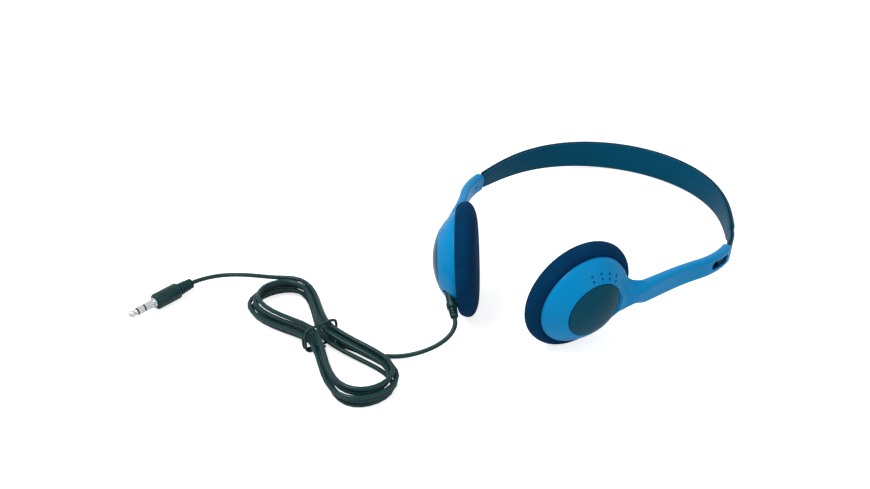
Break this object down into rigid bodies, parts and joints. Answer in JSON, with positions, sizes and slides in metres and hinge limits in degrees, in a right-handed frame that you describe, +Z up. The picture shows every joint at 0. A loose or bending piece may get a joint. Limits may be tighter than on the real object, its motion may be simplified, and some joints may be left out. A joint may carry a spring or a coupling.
{
  "type": "wired headphones",
  "caption": "On-ear headphones with a strap headband, sliding cups with foam pads, and one cable tied in a hank with a small stereo plug.",
  "frame": {"origin": "bottom centre of the headband and both cups, on the surface that they lie on", "axes": "+Y from the cups to the headband's crown, +Z up from the surface, +X to the right cup's side"},
  "size_m": [0.2306, 0.2392, 0.0492],
  "materials": {
    "moulded_blue": "satin moulded blue",
    "band_teal": "satin dark teal",
    "cap_gloss": "high gloss dark teal",
    "foam_navy": "matte foam",
    "felt_black": "felt",
    "black_plastic": "matte",
    "steel": "plated",
    "magnet_grey": "plated",
    "film": "thin film",
    "copper": "enamelled copper",
    "board": "board",
    "cable_green": "satin sheath",
    "chrome": "polished"
  },
  "bodies": {
    "headband": {"band_outer_strap": "band_teal", "band_inner_liner": "band_teal", "crossover_wire": "copper"},
    "left_cup": {"left_arm_shell": "moulded_blue", "left_cap_dome": "cap_gloss", "left_vent_felt": "felt_black", "left_baffle": "black_plastic", "left_ear_pad": "foam_navy", "left_driver_frame": "black_plastic", "left_yoke": "steel", "left_top_plate": "steel", "left_magnet": "magnet_grey", "left_voice_coil": "copper", "left_diaphragm": "film", "left_terminal_board": "board", "left_inner_leads": "copper", "cable_gland": "cable_green", "cable_lead": "cable_green", "cable_hank": "cable_green", "hank_tie": "cable_green", "cable_tail": "cable_green", "plug_body": "cable_green", "plug_sleeve_contact": "chrome", "plug_ring_contact": "chrome", "plug_tip_contact": "chrome", "plug_insulator_1": "black_plastic", "plug_insulator_2": "black_plastic"},
    "right_cup": {"right_arm_shell": "moulded_blue", "right_cap_dome": "cap_gloss", "right_vent_felt": "felt_black", "right_baffle": "black_plastic", "right_ear_pad": "foam_navy", "right_driver_frame": "black_plastic", "right_yoke": "steel", "right_top_plate": "steel", "right_magnet": "magnet_grey", "right_voice_coil": "copper", "right_diaphragm": "film", "right_terminal_board": "board", "right_inner_leads": "copper"}
  },
  "joints": [
    {"name": "left_slide", "type": "hinge", "parent": "headband", "child": "left_cup", "pos_m": [-0.00638, 0.00828, 0.01571], "axis": [0.0128, 0.1074, 0.9941], "range_deg": [0, 9.37]},
    {"name": "right_slide", "type": "hinge", "parent": "headband", "child": "right_cup", "pos_m": [0.00677, 0.00826, 0.01554], "axis": [-0.0128, -0.1074, -0.9941], "range_deg": [-18.95, 3.95]}
  ]
}
